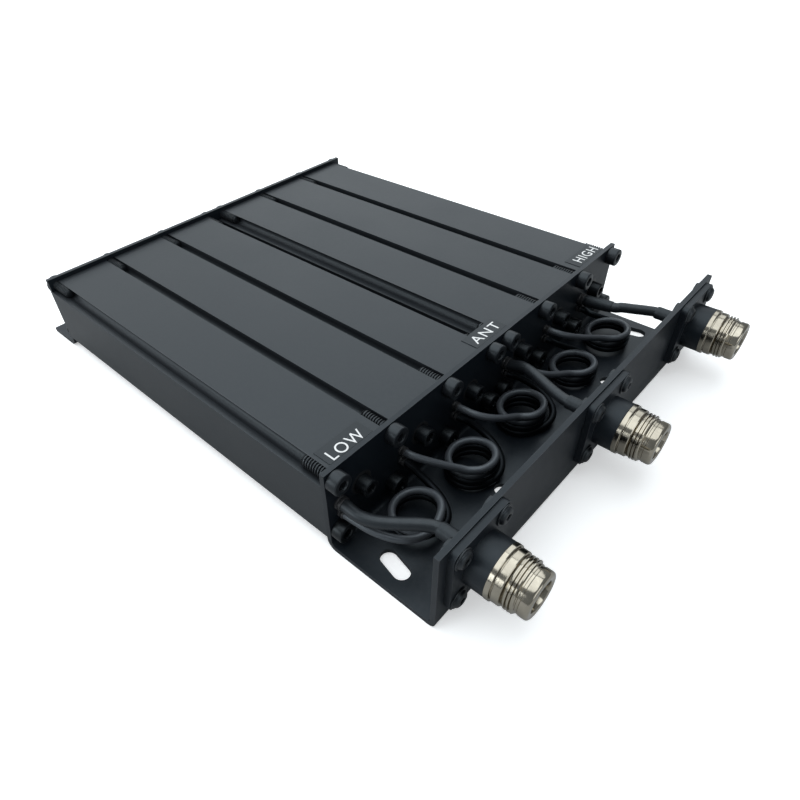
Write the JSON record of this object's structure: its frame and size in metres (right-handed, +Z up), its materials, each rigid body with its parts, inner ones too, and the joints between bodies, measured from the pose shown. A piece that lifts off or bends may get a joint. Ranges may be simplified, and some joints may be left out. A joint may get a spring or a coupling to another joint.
{
  "type": "cavity duplexer",
  "caption": "Flat notch duplexer of coaxial cavities between two bent end brackets, with a cable tray and panel connectors at the front and screw-tuned plungers inside.",
  "frame": {"origin": "middle of the rectangle that the whole unit covers, on the plane it stands on", "axes": "+X across the cavities from the LOW to the HIGH side, +Y along the cavities to the rear, +Z up"},
  "size_m": [0.1724, 0.2446, 0.0336],
  "materials": {
    "bracket_finish": "satin black finish on bent aluminium sheet",
    "block_finish": "satin dark grey finish on extruded aluminium",
    "bush_brass": "turned",
    "ferrule_metal": "crimped",
    "shrink_sleeve": "shrunk tube",
    "black_steel": "black oxide",
    "copper": "plain copper",
    "tuning_steel": "dark plate",
    "loop_wire": "stiff wire",
    "jumper_jacket": "smooth jacket",
    "feed_jacket": "smooth jacket",
    "nickel": "bright nickel plate",
    "insulator_white": "turned",
    "contact_gold": "gold plate",
    "label_film": "thin film with white lettering"
  },
  "bodies": {
    "unit": {"front_bracket": "bracket_finish", "rear_bracket": "bracket_finish", "cavity_block_low": "block_finish", "cavity_block_high": "block_finish", "tuning_bushes": "bush_brass", "port_ferrules": "ferrule_metal", "feed_sleeves": "shrink_sleeve", "flange_screws": "black_steel", "flange_nuts": "black_steel", "front_top_screws": "black_steel", "front_bottom_screws": "black_steel", "rear_top_screws": "black_steel", "rear_bottom_screws": "black_steel", "resonator_tube_1": "copper", "coupling_loop_1": "loop_wire", "resonator_tube_2": "copper", "coupling_loop_2": "loop_wire", "resonator_tube_3": "copper", "coupling_loop_3": "loop_wire", "resonator_tube_4": "copper", "coupling_loop_4": "loop_wire", "resonator_tube_5": "copper", "coupling_loop_5": "loop_wire", "resonator_tube_6": "copper", "coupling_loop_6": "loop_wire", "jumper_cable_1": "jumper_jacket", "jumper_cable_2": "jumper_jacket", "jumper_cable_3": "jumper_jacket", "jumper_cable_4": "jumper_jacket", "jumper_cable_5": "jumper_jacket", "feed_cable_low": "feed_jacket", "connector_flange_low": "bracket_finish", "connector_shell_low": "nickel", "connector_insulator_low": "insulator_white", "connector_contact_low": "contact_gold", "label_low": "label_film", "feed_cable_ant": "feed_jacket", "connector_flange_ant": "bracket_finish", "connector_shell_ant": "nickel", "connector_insulator_ant": "insulator_white", "connector_contact_ant": "contact_gold", "label_ant": "label_film", "feed_cable_high": "feed_jacket", "connector_flange_high": "bracket_finish", "connector_shell_high": "nickel", "connector_insulator_high": "insulator_white", "connector_contact_high": "contact_gold", "label_high": "label_film"},
    "screw_1": {"tuning_screw_1": "tuning_steel"},
    "plunger_1": {"tuning_plunger_1": "copper"},
    "screw_2": {"tuning_screw_2": "tuning_steel"},
    "plunger_2": {"tuning_plunger_2": "copper"},
    "screw_3": {"tuning_screw_3": "tuning_steel"},
    "plunger_3": {"tuning_plunger_3": "copper"},
    "screw_4": {"tuning_screw_4": "tuning_steel"},
    "plunger_4": {"tuning_plunger_4": "copper"},
    "screw_5": {"tuning_screw_5": "tuning_steel"},
    "plunger_5": {"tuning_plunger_5": "copper"},
    "screw_6": {"tuning_screw_6": "tuning_steel"},
    "plunger_6": {"tuning_plunger_6": "copper"}
  },
  "joints": [
    {"name": "tuning_turn_1", "type": "hinge", "parent": "unit", "child": "screw_1", "pos_m": [-0.0715, -0.06165, 0.019], "axis": [0, 1, 0], "range_deg": [-3601, 3601]},
    {"name": "plunger_slide_1", "type": "slide", "parent": "unit", "child": "plunger_1", "axis": [0, 1, 0], "range_m": [-0.007, 0.007]},
    {"name": "tuning_turn_2", "type": "hinge", "parent": "unit", "child": "screw_2", "pos_m": [-0.0435, -0.06165, 0.019], "axis": [0, 1, 0], "range_deg": [-3601, 3601]},
    {"name": "plunger_slide_2", "type": "slide", "parent": "unit", "child": "plunger_2", "axis": [0, 1, 0], "range_m": [-0.007, 0.007]},
    {"name": "tuning_turn_3", "type": "hinge", "parent": "unit", "child": "screw_3", "pos_m": [-0.0155, -0.06165, 0.019], "axis": [0, 1, 0], "range_deg": [-3601, 3601]},
    {"name": "plunger_slide_3", "type": "slide", "parent": "unit", "child": "plunger_3", "axis": [0, 1, 0], "range_m": [-0.007, 0.007]},
    {"name": "tuning_turn_4", "type": "hinge", "parent": "unit", "child": "screw_4", "pos_m": [0.0155, -0.06165, 0.019], "axis": [0, 1, 0], "range_deg": [-3601, 3601]},
    {"name": "plunger_slide_4", "type": "slide", "parent": "unit", "child": "plunger_4", "axis": [0, 1, 0], "range_m": [-0.007, 0.007]},
    {"name": "tuning_turn_5", "type": "hinge", "parent": "unit", "child": "screw_5", "pos_m": [0.0435, -0.06165, 0.019], "axis": [0, 1, 0], "range_deg": [-3601, 3601]},
    {"name": "plunger_slide_5", "type": "slide", "parent": "unit", "child": "plunger_5", "axis": [0, 1, 0], "range_m": [-0.007, 0.007]},
    {"name": "tuning_turn_6", "type": "hinge", "parent": "unit", "child": "screw_6", "pos_m": [0.0715, -0.06165, 0.019], "axis": [0, 1, 0], "range_deg": [-3601, 3601]},
    {"name": "plunger_slide_6", "type": "slide", "parent": "unit", "child": "plunger_6", "axis": [0, 1, 0], "range_m": [-0.007, 0.007]}
  ],
  "couplings": [
    {"joint": "tuning_turn_1", "follows": "plunger_slide_1", "rad_per_m": -8976},
    {"joint": "tuning_turn_2", "follows": "plunger_slide_2", "rad_per_m": -8976},
    {"joint": "tuning_turn_3", "follows": "plunger_slide_3", "rad_per_m": -8976},
    {"joint": "tuning_turn_4", "follows": "plunger_slide_4", "rad_per_m": -8976},
    {"joint": "tuning_turn_5", "follows": "plunger_slide_5", "rad_per_m": -8976},
    {"joint": "tuning_turn_6", "follows": "plunger_slide_6", "rad_per_m": -8976}
  ]
}
